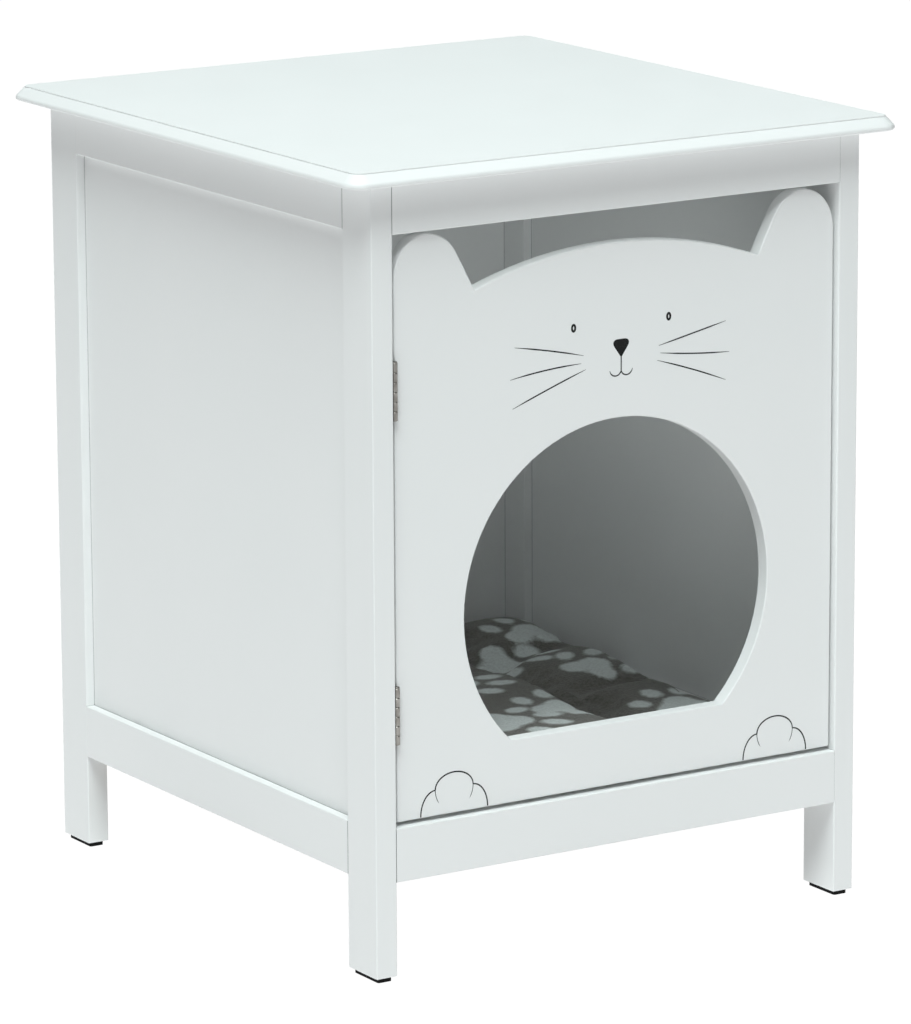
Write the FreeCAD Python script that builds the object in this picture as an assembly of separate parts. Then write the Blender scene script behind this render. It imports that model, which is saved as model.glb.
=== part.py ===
import FreeCAD, Part
import math
import os

from FreeCAD import Vector

# Nightstand cat house. Millimetres, +Z up, front towards -Y, origin on the floor under the middle.

# Cabinet over its legs, and the height of the whole
cabinet_width = 433.5
cabinet_depth = 476.5
overall_height = 610.0
edge_round = 1.0
overrun = 2.0

# Legs and their felt pads
leg_width = 18.0
leg_depth = 40.0
pad_height = 4.0
pad_inset = 3.0
pad_corner = 2.0

# Tabletop: a flat field, a small step and a bevelled nose that ends in a rounded lip
top_thickness = 11.0
top_overhang_side = 26.25
top_overhang_front = 18.75
step_height = 0.8
nose_reach = 7.0
nose_corner = 15.0
nose_ledge = 0.2
nose_lip_round = 3.2
nose_lower_round = 1.9
nose_lip_limit_share = 1.0
nose_lower_limit_share = 0.57

# Rails and the thin panels in their grooves
top_rail_height = 38.5
bottom_rail_height = 41.5
bottom_rail_lift = 75.5
cross_rail_thickness = 18.0
panel_thickness = 3.0
panel_recess = 7.5
groove_depth = 6.0
groove_play = 0.1
tenon_shoulder = 5.0

# Cam fittings and dowels of the cross rails
cam_radius = 6.0
cam_depth = 13.0
cam_reach = 20.0
cam_rise = 7.0
cam_slot_width = 1.2
cam_slot_depth = 2.0
bolt_radius = 3.0
bolt_neck_radius = 2.2
bolt_head_length = 4.0
bolt_anchor = 10.0
dowel_radius = 3.0
dowel_anchor = 10.0
dowel_reach = 20.0
dowel_drop = 6.0
fitting_play = 0.1

# Floor panel, its cleats and the cushion on it
floor_thickness = 9.0
floor_play = 0.5
cleat_width = 12.0
cleat_height = 12.0
cleat_lift = 0.5
cleat_end_gap = 8.0
cleat_screw_inset = 60.0
cushion_gap = 1.5
soft_gap = 0.3
cushion_side_height = 27.0
cushion_side_tuck = 4.0
cushion_crease_offset = 66.0
cushion_crease_height = 24.0
cushion_outer_crown = 36.0
cushion_middle_crown = 44.0
cushion_end_shares = ((1.0, 0.955, 0.5), (0.95, 0.985, 0.8), (0.78, 1.0, 0.98))

# Door: its play in the frame, the cat's ears and head, and the way in
door_thickness = 12.0
door_recess = 5.0
door_gap_latch = 2.0
door_gap_low = 3.0
door_gap_high = 3.0
way_in_radius = 136.5
way_in_height = 145.5
way_in_sill = 48.0
way_in_corner = 3.0
ear_inset = 27.7
ear_rise = 32.2
ear_round = 29.0
ear_sweep = 60.0
valley_inset = 69.2
valley_drop = 45.7
head_drop = 23.0

# Butt hinges
hinge_height = 43.0
hinge_upper_drop = 91.5
hinge_lower_lift = 60.0
knuckle_count = 6
knuckle_radius = 2.3
knuckle_ease = 0.35
knuckle_play = 0.15
knuckle_clearance = 0.25
leaf_thickness = 1.1
leaf_width = 13.2
leaf_corner = 1.5
leaf_seat_play = 0.1
leaf_screw_back = 8.2
leaf_screw_spread = 24.0
pin_radius = 1.2
pin_running_play = 0.05
pin_head_radius = 2.1
pin_head_height = 1.2

# Magnetic catch behind the door's free edge
catch_drop = 113.0
catch_width = 17.0
catch_depth = 15.0
catch_height = 28.0
catch_plate_thickness = 3.0
catch_plate_height = 46.0
catch_axis_offset = 9.0
magnet_thickness = 4.0
magnet_height = 20.0
pole_thickness = 1.0
pole_stand = 0.8
pocket_depth = 11.0
catch_gap = 0.2
strike_thickness = 1.2
strike_width = 14.0
strike_height = 32.0
strike_inset = 1.5

# Angle brackets under the tabletop
bracket_arm = 22.0
bracket_width = 16.0
bracket_thickness = 1.5
bracket_corner = 4.0
bracket_offset = 120.0
bracket_hole_share = 0.6

# Countersunk screws: head radius, shank radius, length
leaf_screw = {"head": 2.1, "shank": 1.1, "length": 10.0}
strike_screw = {"head": 2.1, "shank": 1.1, "length": 8.0}
plate_screw = {"head": 2.6, "shank": 1.4, "length": 12.0}
bracket_screw = {"head": 2.9, "shank": 1.5, "length": 10.0}
cleat_screw = {"head": 3.2, "shank": 1.6, "length": 22.0}
screw_play = 0.05
drive_reach_share = 0.6
drive_width_share = 0.28
drive_depth_share = 0.35

# Places that follow from those sizes
half_width = cabinet_width / 2
half_depth = cabinet_depth / 2
inner_x = half_width - leg_width
inner_y = half_depth - leg_depth
cross_y = half_depth - cross_rail_thickness
leg_top = overall_height - top_thickness
top_rail_low = leg_top - top_rail_height
bottom_rail_top = bottom_rail_lift + bottom_rail_height
panel_outer = half_width - panel_recess
panel_inner = panel_outer - panel_thickness
back_outer = half_depth - panel_recess
back_inner = back_outer - panel_thickness
panel_low = bottom_rail_top - groove_depth
panel_high = top_rail_low + groove_depth
floor_low = bottom_rail_lift + cleat_lift + cleat_height
floor_top = floor_low + floor_thickness

knuckle_stand = knuckle_radius + knuckle_clearance
hinge_x = -inner_x + knuckle_stand
door_left = hinge_x + knuckle_stand - leaf_thickness
door_right = inner_x - door_gap_latch
door_mid = (door_left + door_right) / 2
door_half = (door_right - door_left) / 2
door_low = bottom_rail_top + door_gap_low
door_high = top_rail_low - door_gap_high
door_front = -half_depth + door_recess
door_back = door_front + door_thickness
hinge_y = door_front - knuckle_stand

ACROSS = Vector(1, 0, 0)
BACK = Vector(0, 1, 0)
UP = Vector(0, 0, 1)
SIDES = {"left": -1, "right": 1}
ENDS = {"front": -1, "rear": 1}


def block(xs, ys, zs):
    """A box between two values on each axis, given in either order."""
    low = Vector(min(xs), min(ys), min(zs))
    high = Vector(max(xs), max(ys), max(zs))
    size = high - low
    return Part.makeBox(size.x, size.y, size.z, low)


def rod(radius, start, end):
    """A round bar between two points."""
    return Part.makeCylinder(radius, (end - start).Length, start, end - start)


def edges_along(shape, axis, test=None):
    """The straight edges parallel to an axis, and of those the ones whose middle passes the test."""
    found = []
    for edge in shape.Edges:
        if not isinstance(edge.Curve, Part.Line) or abs(edge.Curve.Direction.dot(axis)) < 1 - 1e-6:
            continue
        if test is None or test(edge.CenterOfMass):
            found.append(edge)
    return found


def eased(shape, axis, test=None):
    """The shape with its edges along one axis lightly rounded."""
    return shape.makeFillet(edge_round, edges_along(shape, axis, test))


def drive(head):
    """The cross in a screw's head that a driver fits."""
    reach = head * drive_reach_share
    half = head * drive_width_share / 2
    deep = head * drive_depth_share
    arms = block((-reach, reach), (-half, half), (-deep, deep))
    return arms.fuse(block((-half, half), (-reach, reach), (-deep, deep)))


def screw(size, seat, way, play=0.0):
    """A countersunk screw driven from its seat; with play, the room that it needs."""
    head = size["head"] + play
    shank = size["shank"] + play
    length = size["length"] + play
    neck = head - shank
    outline = [Vector(0, 0, 0), Vector(head, 0, 0), Vector(shank, 0, neck)]
    outline += [Vector(shank, 0, length - shank), Vector(0, 0, length), Vector(0, 0, 0)]
    shape = Part.Face(Part.makePolygon(outline)).revolve(Vector(0, 0, 0), UP, 360)
    if not play:
        shape = shape.cut(drive(head))
    shape.Placement = FreeCAD.Placement(seat, FreeCAD.Rotation(UP, way))
    return shape


def drill(shape, size, seats, way):
    """The shape with room for screws at the seats."""
    for seat in seats:
        shape = shape.cut(screw(size, seat, way, screw_play))
    return shape


def rounded_plate(half_x, half_y, corner, low, high):
    """An upright plate with rounded plan corners."""
    plate = block((-half_x, half_x), (-half_y, half_y), (low, high))
    return plate.makeFillet(corner, edges_along(plate, UP))


def rim(shape, z):
    """The edges of the shape that lie wholly at one height."""
    def at_height(vertex):
        return abs(vertex.Point.z - z) < edge_round / 100

    return [edge for edge in shape.Edges if all(at_height(vertex) for vertex in edge.Vertexes)]


def bracket_places():
    """Each bracket's name, side and distance along the rail."""
    return [(side, end, SIDES[side], ENDS[end] * bracket_offset) for side in SIDES for end in ENDS]


def bracket_seats(sign, y):
    """Where a bracket's rail screw and top screw seat."""
    reach = bracket_arm * bracket_hole_share
    rail = Vector(sign * (inner_x - bracket_thickness), y, leg_top - reach)
    top = Vector(sign * (inner_x - reach), y, leg_top - bracket_thickness)
    return rail, top


def tabletop():
    half_x = half_width + top_overhang_side
    half_y = half_depth + top_overhang_front
    field = overall_height - step_height
    nose = rounded_plate(half_x, half_y, nose_corner, leg_top, field)
    bevel = nose_reach - nose_ledge
    lip = field - bevel
    lip_height = lip - leg_top
    nose = nose.makeChamfer(bevel, rim(nose, field))
    nose = nose.makeFillet(min(nose_lip_round, lip_height * nose_lip_limit_share), rim(nose, lip))
    nose = nose.makeFillet(min(nose_lower_round, lip_height * nose_lower_limit_share), rim(nose, leg_top))
    arris_corner = nose_corner - nose_reach
    crown = rounded_plate(half_x - nose_reach, half_y - nose_reach, arris_corner, field, overall_height)
    top = nose.fuse(crown).removeSplitter()
    for side, end, sign, y in bracket_places():
        top = drill(top, bracket_screw, [bracket_seats(sign, y)[1]], UP)
    return top


def fitting_rails():
    """The cross rails: name, end, low edge and high edge."""
    return [
        ("front_apron", -1, top_rail_low, leg_top),
        ("front_bottom_rail", -1, bottom_rail_lift, bottom_rail_top),
        ("rear_top_rail", 1, top_rail_low, leg_top),
        ("rear_bottom_rail", 1, bottom_rail_lift, bottom_rail_top),
    ]


def fitting_place(sign, end, low, high):
    """Where a cam bolt and a dowel cross the face between a rail and a leg."""
    y = end * (half_depth - cross_rail_thickness / 2)
    middle = (low + high) / 2
    return Vector(sign * inner_x, y, middle + cam_rise), Vector(sign * inner_x, y, middle - dowel_drop)


def cam_bolt(sign, place, play=0.0):
    """A bolt screwed into the leg, with its neck and head reaching into the cam."""
    out = ACROSS * sign
    neck_end = place - out * (cam_reach - bolt_head_length)
    head_end = place - out * cam_reach
    if play:
        return rod(bolt_radius + play, head_end - out * play, place + out * (bolt_anchor + play))
    bolt = rod(bolt_radius, place, place + out * bolt_anchor)
    return bolt.fuse([rod(bolt_neck_radius, neck_end, place), rod(bolt_radius, head_end, neck_end)])


def cam_disc(sign, end, place, play=0.0):
    """A round cam let into the rail's inner face, open on the side where the bolt comes in."""
    mouth = Vector(place.x - sign * cam_reach, end * cross_y, place.z)
    disc = rod(cam_radius + play, mouth, mouth + BACK * end * (cam_depth + play))
    if play:
        return disc
    slot_half = cam_slot_width / 2
    slot = block(
        (mouth.x - cam_radius, mouth.x + cam_radius),
        (mouth.y, mouth.y + end * cam_slot_depth),
        (mouth.z - slot_half, mouth.z + slot_half),
    )
    return disc.cut([cam_bolt(sign, place, fitting_play), slot])


def dowel(sign, place, play=0.0):
    out = ACROSS * sign
    return rod(dowel_radius + play, place - out * (dowel_reach + play), place + out * (dowel_anchor + play))


def fittings(maker):
    """One of each fitting at both ends of every cross rail."""
    made = []
    for name, end, low, high in fitting_rails():
        for sign in SIDES.values():
            bolt_place, dowel_place = fitting_place(sign, end, low, high)
            made.append(maker(sign, end, bolt_place, dowel_place))
    return Part.makeCompound(made)


def hinge_lows():
    """The lower end of each hinge."""
    return {"upper": door_high - hinge_upper_drop - hinge_height, "lower": door_low + hinge_lower_lift}


def leaf_screw_seats(x):
    """The screw seats on all leaves whose outer face is at x."""
    seats = []
    for low in hinge_lows().values():
        for step in (-1, 1):
            z = low + hinge_height / 2 + step * leaf_screw_spread / 2
            seats.append(Vector(x, hinge_y + leaf_screw_back, z))
    return seats


def catch_middle():
    """The point between the catch's pole tips."""
    y = door_back + strike_thickness + catch_gap
    return Vector(inner_x - catch_axis_offset, y, door_high - catch_drop)


def catch_screw_seats():
    middle = catch_middle()
    y = middle.y + pole_stand + catch_depth / 2
    x = inner_x - catch_plate_thickness
    reach = (catch_height + catch_plate_height) / 4
    return [Vector(x, y, middle.z + step * reach) for step in (-1, 1)]


def strike_seat():
    middle = catch_middle()
    x = door_right - strike_inset - strike_width / 2
    return Vector(x, door_back + strike_thickness, middle.z)


def leg(sign, end):
    ys = (end * inner_y, end * half_depth)
    post = eased(block((sign * inner_x, sign * half_width), ys, (pad_height, leg_top)), UP)
    groove = block(
        (sign * (panel_inner - groove_play), sign * (panel_outer + groove_play)),
        (end * (inner_y - overrun), end * (inner_y + groove_depth)),
        (bottom_rail_lift + tenon_shoulder, leg_top + overrun),
    )
    post = post.cut(groove)
    if end > 0:
        back_groove = block(
            (sign * (inner_x - overrun), sign * (inner_x + groove_depth)),
            (back_inner - groove_play, back_outer + groove_play),
            (panel_low, panel_high),
        )
        post = post.cut(back_groove)
    for name, rail_end, low, high in fitting_rails():
        if rail_end == end:
            bolt_place, dowel_place = fitting_place(sign, end, low, high)
            post = post.cut(cam_bolt(sign, bolt_place, fitting_play))
            post = post.cut(dowel(sign, dowel_place, fitting_play))
    if (sign, end) == (-1, -1):
        post = drill(post, leaf_screw, leaf_screw_seats(-inner_x + leaf_thickness), -ACROSS)
    if (sign, end) == (1, -1):
        post = drill(post, plate_screw, catch_screw_seats(), ACROSS)
    return post


def foot_pad(sign, end):
    xs = (sign * (inner_x + pad_inset), sign * (half_width - pad_inset))
    ys = (end * (inner_y + pad_inset), end * (half_depth - pad_inset))
    pad = block(xs, ys, (0, pad_height))
    return pad.makeFillet(pad_corner, edges_along(pad, UP))


def cleat_screw_seats(sign):
    y = inner_y - cleat_screw_inset
    z = floor_low - cleat_height / 2
    return [Vector(sign * (inner_x - cleat_width), step * y, z) for step in (-1, 1)]


def side_rail(sign, low, high):
    """A side rail with stub tenons in the legs' grooves and a groove for the panel."""
    rail = eased(block((sign * inner_x, sign * half_width), (-inner_y, inner_y), (low, high)), BACK)
    tongue = inner_y + groove_depth - groove_play
    tenon_zs = (low + tenon_shoulder + groove_play, high - tenon_shoulder)
    rail = rail.fuse(block((sign * panel_inner, sign * panel_outer), (-tongue, tongue), tenon_zs))
    groove = block(
        (sign * (panel_inner - groove_play), sign * (panel_outer + groove_play)),
        (-tongue - overrun, tongue + overrun),
        (panel_low, panel_high),
    )
    return rail.cut(groove)


def side_top_rail(sign):
    rail = side_rail(sign, top_rail_low, leg_top)
    for y in (-bracket_offset, bracket_offset):
        rail = drill(rail, bracket_screw, [bracket_seats(sign, y)[0]], ACROSS * sign)
    return rail


def side_bottom_rail(sign):
    rail = side_rail(sign, bottom_rail_lift, bottom_rail_top)
    return drill(rail, cleat_screw, cleat_screw_seats(sign), ACROSS * sign)


def side_panel(sign):
    tongue = inner_y + groove_depth - groove_play
    return block(
        (sign * panel_inner, sign * panel_outer),
        (-tongue, tongue),
        (panel_low + groove_play, panel_high - groove_play),
    )


def back_panel():
    tongue = inner_x + groove_depth - groove_play
    zs = (panel_low + groove_play, panel_high - groove_play)
    return block((-tongue, tongue), (back_inner, back_outer), zs)


def cross_rail(end, low, high):
    """A rail across the front or the rear, with its fittings' bores and the back panel's groove."""
    rail = eased(block((-inner_x, inner_x), (end * cross_y, end * half_depth), (low, high)), ACROSS)
    if end > 0:
        ys = (back_inner - groove_play, back_outer + groove_play)
        rail = rail.cut(block((-inner_x - overrun, inner_x + overrun), ys, (panel_low, panel_high)))
    for sign in SIDES.values():
        bolt_place, dowel_place = fitting_place(sign, end, low, high)
        rail = rail.cut(cam_bolt(sign, bolt_place, fitting_play))
        rail = rail.cut(cam_disc(sign, end, bolt_place, fitting_play))
        rail = rail.cut(dowel(sign, dowel_place, fitting_play))
    return rail


def floor_panel():
    half_x = inner_x - floor_play
    half_y = cross_y - floor_play
    return block((-half_x, half_x), (-half_y, half_y), (floor_low, floor_top))


def floor_cleat(sign):
    half_length = inner_y - cleat_end_gap
    xs = (sign * (inner_x - cleat_width), sign * inner_x)
    cleat = block(xs, (-half_length, half_length), (floor_low - cleat_height, floor_low))
    return drill(cleat, cleat_screw, cleat_screw_seats(sign), ACROSS * sign)


def cleat_screws():
    made = []
    for sign in SIDES.values():
        made += [screw(cleat_screw, seat, ACROSS * sign) for seat in cleat_screw_seats(sign)]
    return Part.makeCompound(made)


def cushion_section(y, width_share, rise_share):
    """The pad across: a flat bottom, tucked sides and three crowned puffs between two creases."""
    edge = (inner_x - cushion_gap) * width_share
    tucked = edge - cushion_side_tuck
    crease = cushion_crease_offset * width_share
    base = floor_top + soft_gap

    def point(x, height):
        return Vector(x, y, base + height * rise_share)

    side = point(tucked, cushion_side_height)
    outer_middle = (tucked + crease) / 2
    edges = [Part.LineSegment(point(-tucked, 0), point(tucked, 0))]
    edges.append(Part.Arc(point(tucked, 0), point(edge, cushion_side_height / 2), side))
    valley = point(crease, cushion_crease_height)
    edges.append(Part.Arc(side, point(outer_middle, cushion_outer_crown), valley))
    far_valley = point(-crease, cushion_crease_height)
    edges.append(Part.Arc(valley, point(0, cushion_middle_crown), far_valley))
    far_side = point(-tucked, cushion_side_height)
    edges.append(Part.Arc(far_valley, point(-outer_middle, cushion_outer_crown), far_side))
    edges.append(Part.Arc(far_side, point(-edge, cushion_side_height / 2), point(-tucked, 0)))
    return Part.Wire([edge.toShape() for edge in edges])


def cushion():
    half_length = cross_y - cushion_gap
    front = [(-along, wide, rise) for along, wide, rise in cushion_end_shares]
    rear = [(along, wide, rise) for along, wide, rise in reversed(cushion_end_shares)]
    places = front + [(0, 1, 1)] + rear
    sections = [cushion_section(along * half_length, wide, rise) for along, wide, rise in places]
    return Part.makeLoft(sections, True)


def door_point(across, up):
    """A point on the door's front plane, from the middle of its width and its lower edge."""
    return Vector(door_mid + across, door_front, door_low + up)


def ear_edges(sign):
    """From the door's side over an ear's tip and down to the valley beside the head."""
    tip_up = door_high - door_low
    tip_across = door_half - ear_inset
    centre = door_point(sign * tip_across, tip_up - ear_rise)
    tip = door_point(sign * tip_across, tip_up)
    side = door_point(sign * door_half, tip_up - ear_rise)
    ellipse = Part.Ellipse(tip, side, centre)
    ends = sorted((ellipse.parameter(side), ellipse.parameter(tip)))
    if ends[1] - ends[0] > math.pi:
        ends = [ends[1], ends[0] + 2 * math.pi]
    outer = Part.ArcOfEllipse(ellipse, ends[0], ends[1])

    def on_round(angle):
        turn = math.radians(angle)
        across = tip_across - ear_round * math.sin(turn)
        return door_point(sign * across, tip_up - ear_round + ear_round * math.cos(turn))

    shoulder = on_round(ear_sweep)
    inner = Part.Arc(tip, on_round(ear_sweep / 2), shoulder)
    valley = door_point(sign * (door_half - valley_inset), tip_up - valley_drop)
    turn = math.radians(ear_sweep)
    inward = Vector(sign * math.sin(turn), 0, -math.cos(turn))
    chord = valley - shoulder
    radius = chord.Length ** 2 / (2 * chord.dot(inward))
    bow_centre = shoulder + inward * radius
    halfway = (shoulder + valley) / 2 - bow_centre
    bow = bow_centre + halfway * (abs(radius) / halfway.Length)
    flank = Part.Arc(shoulder, bow, valley)
    return [outer.toShape(), inner.toShape(), flank.toShape()]


def door_outline():
    tip_up = door_high - door_low
    shoulder_up = tip_up - ear_rise
    corners = [door_point(-door_half, shoulder_up), door_point(-door_half, 0)]
    corners += [door_point(door_half, 0), door_point(door_half, shoulder_up)]
    edges = [Part.LineSegment(a, b).toShape() for a, b in zip(corners, corners[1:])]
    valley_across = door_half - valley_inset
    valleys = [door_point(sign * valley_across, tip_up - valley_drop) for sign in (-1, 1)]
    head = Part.Arc(valleys[0], door_point(0, tip_up - head_drop), valleys[1]).toShape()
    edges += ear_edges(1) + [head] + ear_edges(-1)
    return Part.Wire(Part.__sortEdges__(edges))


def way_in_outline():
    half_chord = math.sqrt(way_in_radius ** 2 - (way_in_height - way_in_sill) ** 2)
    ends = [door_point(step * half_chord, way_in_sill) for step in (-1, 1)]
    arch = Part.Arc(ends[0], door_point(0, way_in_height + way_in_radius), ends[1])
    return Part.Wire([arch.toShape(), Part.LineSegment(ends[1], ends[0]).toShape()])


def door():
    leaf = Part.Face(door_outline()).extrude(BACK * door_thickness)
    opening = Part.Face(way_in_outline()).extrude(BACK * door_thickness)
    corners = [edge for edge in opening.Edges if edge.BoundBox.YLength > door_thickness / 2]
    leaf = leaf.cut(opening.makeFillet(way_in_corner, corners))
    arrises = [edge for edge in leaf.Edges if edge.BoundBox.YLength < door_thickness / 2]
    leaf = leaf.makeFillet(edge_round, arrises)
    for low in hinge_lows().values():
        mortise = block(
            (door_left - overrun, hinge_x + knuckle_stand + leaf_seat_play),
            (door_front - overrun, hinge_y + leaf_width + leaf_seat_play),
            (low - leaf_seat_play, low + hinge_height + leaf_seat_play),
        )
        leaf = leaf.cut(mortise)
    leaf = drill(leaf, leaf_screw, leaf_screw_seats(door_left), ACROSS)
    return drill(leaf, strike_screw, [strike_seat()], -BACK)


def hinge_axis(z):
    return Vector(hinge_x, hinge_y, z)


def knuckle_spans(low):
    """The heights of the knuckles from the top down, with their play between them."""
    step = hinge_height / knuckle_count
    tops = [low + hinge_height - index * step for index in range(knuckle_count)]
    return [(top - step + knuckle_play / 2, top - knuckle_play / 2) for top in tops]


def hinge_leaf(low, sign):
    """A leaf, on the leg with sign -1 and on the door with 1, with every other knuckle."""
    back = hinge_x + sign * knuckle_stand
    face = back - sign * leaf_thickness
    leaf = block((back, face), (hinge_y, hinge_y + leaf_width), (low, low + hinge_height))
    far = edges_along(leaf, ACROSS, lambda middle: middle.y > hinge_y + leaf_width / 2)
    leaf = leaf.makeFillet(leaf_corner, far)
    first = 0 if sign < 0 else 1
    for index, (bottom, top) in enumerate(knuckle_spans(low)):
        if index % 2 == first:
            knuckle = rod(knuckle_radius, hinge_axis(bottom), hinge_axis(top))
            ends = rim(knuckle, bottom) + rim(knuckle, top)
            leaf = leaf.fuse(knuckle.makeChamfer(knuckle_ease, ends))
        else:
            room = (hinge_axis(bottom - knuckle_play), hinge_axis(top + knuckle_play))
            leaf = leaf.cut(rod(knuckle_stand, room[0], room[1]))
    bore = (hinge_axis(low - overrun), hinge_axis(low + hinge_height + overrun))
    leaf = leaf.cut(rod(pin_radius + pin_running_play, bore[0], bore[1]))
    seats = [seat for seat in leaf_screw_seats(face) if low < seat.z < low + hinge_height]
    return drill(leaf, leaf_screw, seats, ACROSS * sign)


def hinge_pin(low):
    top = low + hinge_height
    pin = rod(pin_radius, hinge_axis(low), hinge_axis(top))
    head = rod(pin_head_radius, hinge_axis(top), hinge_axis(top + pin_head_height))
    head = head.makeFillet(pin_head_height / 2, rim(head, top + pin_head_height))
    return pin.fuse(head)


def catch_pocket():
    """Half the width and half the height of the pocket that holds the magnet and its poles."""
    return magnet_thickness / 2 + pole_thickness, magnet_height / 2


def catch_body():
    middle = catch_middle()
    front = middle.y + pole_stand
    ys = (front, front + catch_depth)
    half_housing = catch_height / 2
    zs = (middle.z - half_housing, middle.z + half_housing)
    housing = block((inner_x - catch_width, inner_x), ys, zs)
    housing = eased(housing, BACK, lambda point: point.x < inner_x - catch_width / 2)
    half_plate = catch_plate_height / 2
    plate_zs = (middle.z - half_plate, middle.z + half_plate)
    body = housing.fuse(block((inner_x - catch_plate_thickness, inner_x), ys, plate_zs))
    half_pocket, half_high = catch_pocket()
    pocket = block(
        (middle.x - half_pocket - fitting_play, middle.x + half_pocket + fitting_play),
        (front - overrun, front + pocket_depth),
        (middle.z - half_high - fitting_play, middle.z + half_high + fitting_play),
    )
    return drill(body.cut(pocket), plate_screw, catch_screw_seats(), ACROSS)


def catch_magnet():
    middle = catch_middle()
    half_high = catch_pocket()[1]
    front = middle.y + pole_stand
    half_thick = magnet_thickness / 2
    xs = (middle.x - half_thick, middle.x + half_thick)
    return block(xs, (front, front + pocket_depth), (middle.z - half_high, middle.z + half_high))


def catch_poles():
    middle = catch_middle()
    half_pocket, half_high = catch_pocket()
    plates = []
    for step in (-1, 1):
        xs = (middle.x + step * magnet_thickness / 2, middle.x + step * half_pocket)
        ys = (middle.y, middle.y + pole_stand + pocket_depth)
        plates.append(block(xs, ys, (middle.z - half_high, middle.z + half_high)))
    return Part.makeCompound(plates)


def strike_plate():
    seat = strike_seat()
    half_wide = strike_width / 2
    half_high = strike_height / 2
    zs = (seat.z - half_high, seat.z + half_high)
    plate = block((seat.x - half_wide, seat.x + half_wide), (door_back, seat.y), zs)
    plate = plate.makeFillet(leaf_corner, edges_along(plate, BACK))
    return drill(plate, strike_screw, [seat], -BACK)


def bracket(sign, y):
    """An angle of sheet steel: one arm on the side rail, one under the tabletop."""
    ys = (y - bracket_width / 2, y + bracket_width / 2)
    face = sign * inner_x
    upright = block((face, face - sign * bracket_thickness), ys, (leg_top - bracket_arm, leg_top))
    low_ends = edges_along(upright, ACROSS, lambda middle: middle.z < leg_top - bracket_arm / 2)
    upright = upright.makeFillet(bracket_corner, low_ends)
    flat = block((face, face - sign * bracket_arm), ys, (leg_top - bracket_thickness, leg_top))
    far_ends = edges_along(flat, UP, lambda middle: abs(middle.x) < inner_x - bracket_arm / 2)
    angle = upright.fuse(flat.makeFillet(bracket_corner, far_ends)).removeSplitter()
    rail_seat, top_seat = bracket_seats(sign, y)
    return drill(drill(angle, bracket_screw, [rail_seat], ACROSS * sign), bracket_screw, [top_seat], UP)


def bracket_screws():
    made = []
    for side, end, sign, y in bracket_places():
        rail_seat, top_seat = bracket_seats(sign, y)
        made += [screw(bracket_screw, rail_seat, ACROSS * sign), screw(bracket_screw, top_seat, UP)]
    return Part.makeCompound(made)


def screws(size, seats, way):
    return Part.makeCompound([screw(size, seat, way) for seat in seats])


def build():
    """Every piece of the nightstand by name."""
    pieces = {"tabletop": tabletop(), "back_panel": back_panel(), "floor_panel": floor_panel()}
    for end_name, end in ENDS.items():
        for side_name, sign in SIDES.items():
            pieces["leg_%s_%s" % (end_name, side_name)] = leg(sign, end)
            pieces["foot_pad_%s_%s" % (end_name, side_name)] = foot_pad(sign, end)
    for side_name, sign in SIDES.items():
        pieces["side_top_rail_%s" % side_name] = side_top_rail(sign)
        pieces["side_bottom_rail_%s" % side_name] = side_bottom_rail(sign)
        pieces["side_panel_%s" % side_name] = side_panel(sign)
        pieces["floor_cleat_%s" % side_name] = floor_cleat(sign)
    for name, end, low, high in fitting_rails():
        pieces[name] = cross_rail(end, low, high)
    pieces["cam_bolts"] = fittings(lambda sign, end, bolt, peg: cam_bolt(sign, bolt))
    pieces["cam_discs"] = fittings(lambda sign, end, bolt, peg: cam_disc(sign, end, bolt))
    pieces["rail_dowels"] = fittings(lambda sign, end, bolt, peg: dowel(sign, peg))
    pieces["cleat_screws"] = cleat_screws()
    for side, end, sign, y in bracket_places():
        pieces["top_bracket_%s_%s" % (end, side)] = bracket(sign, y)
    pieces["bracket_screws"] = bracket_screws()
    pieces["cushion"] = cushion()
    pieces["door"] = door()
    for name, low in hinge_lows().items():
        pieces["hinge_%s_frame_leaf" % name] = hinge_leaf(low, -1)
        pieces["hinge_%s_door_leaf" % name] = hinge_leaf(low, 1)
        pieces["hinge_%s_pin" % name] = hinge_pin(low)
    pieces["hinge_frame_screws"] = screws(leaf_screw, leaf_screw_seats(-inner_x + leaf_thickness), -ACROSS)
    pieces["hinge_door_screws"] = screws(leaf_screw, leaf_screw_seats(door_left), ACROSS)
    pieces["catch_body"] = catch_body()
    pieces["catch_magnet"] = catch_magnet()
    pieces["catch_poles"] = catch_poles()
    pieces["catch_screws"] = screws(plate_screw, catch_screw_seats(), ACROSS)
    pieces["strike_plate"] = strike_plate()
    pieces["strike_screw"] = screws(strike_screw, [strike_seat()], -BACK)
    return pieces


os.makedirs("parts", exist_ok=True)
for node, shape in build().items():
    shape.exportStep("parts/%s.step" % node)
    print(node, len(shape.Solids), "solids, valid:", shape.isValid())
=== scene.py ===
"""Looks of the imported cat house: lacquer, printed face and paws, fleece pad, fittings, stage and camera."""
from math import atan2, cos, hypot, pi, radians, sin, tau

import bmesh
import bpy
import numpy as np
from bpy.props import FloatProperty, FloatVectorProperty, IntProperty, PointerProperty
from bpy.types import Operator, Panel, PropertyGroup
from mathutils import Matrix, Vector


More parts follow.
